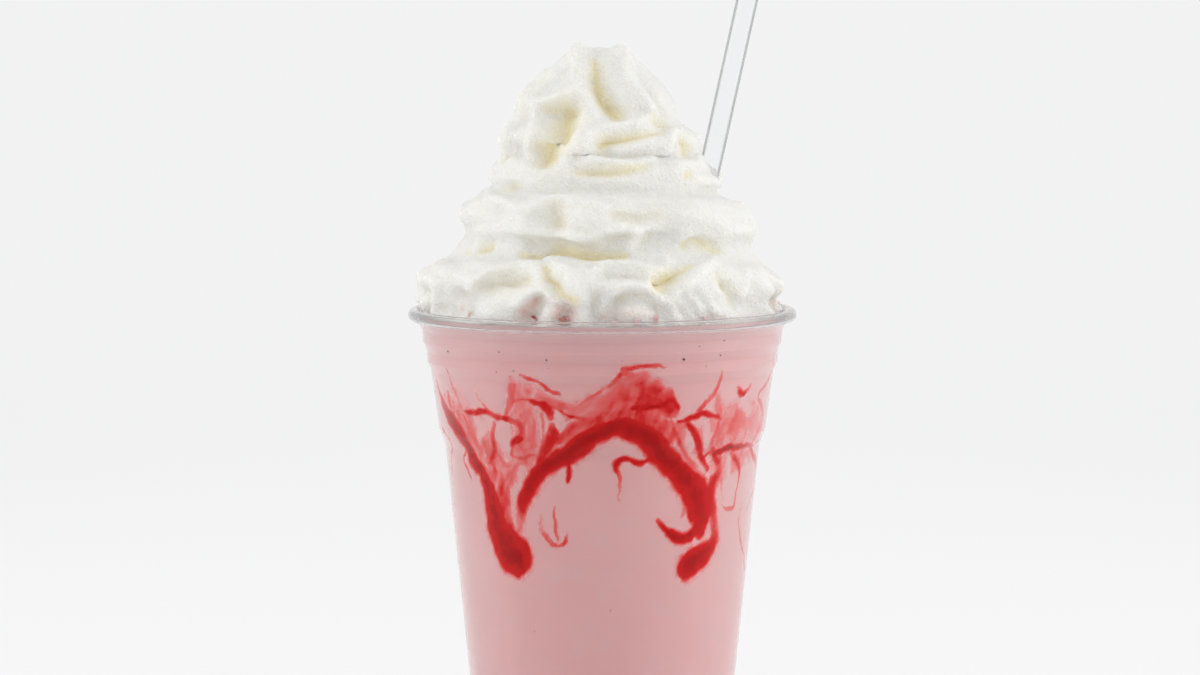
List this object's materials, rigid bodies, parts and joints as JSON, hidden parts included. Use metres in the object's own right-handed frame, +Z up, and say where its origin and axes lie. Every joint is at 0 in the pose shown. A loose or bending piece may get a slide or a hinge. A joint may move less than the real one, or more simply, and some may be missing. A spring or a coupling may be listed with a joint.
{
  "type": "strawberry milkshake in a clear plastic cup",
  "caption": "Strawberry milkshake in a clear tapered plastic cup with a rolled rim, a piped swirl of whipped cream, syrup on the wall and a clear straw.",
  "frame": {"origin": "middle of the cup's foot ring, on the surface that the cup stands on", "axes": "+Z up along the cup's axis, +X to the side that the straw leans to, -Y towards the shown side"},
  "size_m": [0.098, 0.098, 0.2254],
  "materials": {
    "clear_cup": "clear gloss plastic",
    "strawberry_shake": "smooth milky drink",
    "cream": "soft airy cream",
    "clear_straw": "clear gloss plastic"
  },
  "bodies": {
    "root": {"cup": "clear_cup", "milkshake": "strawberry_shake", "whipped_cream": "cream", "straw": "clear_straw"}
  },
  "joints": []
}
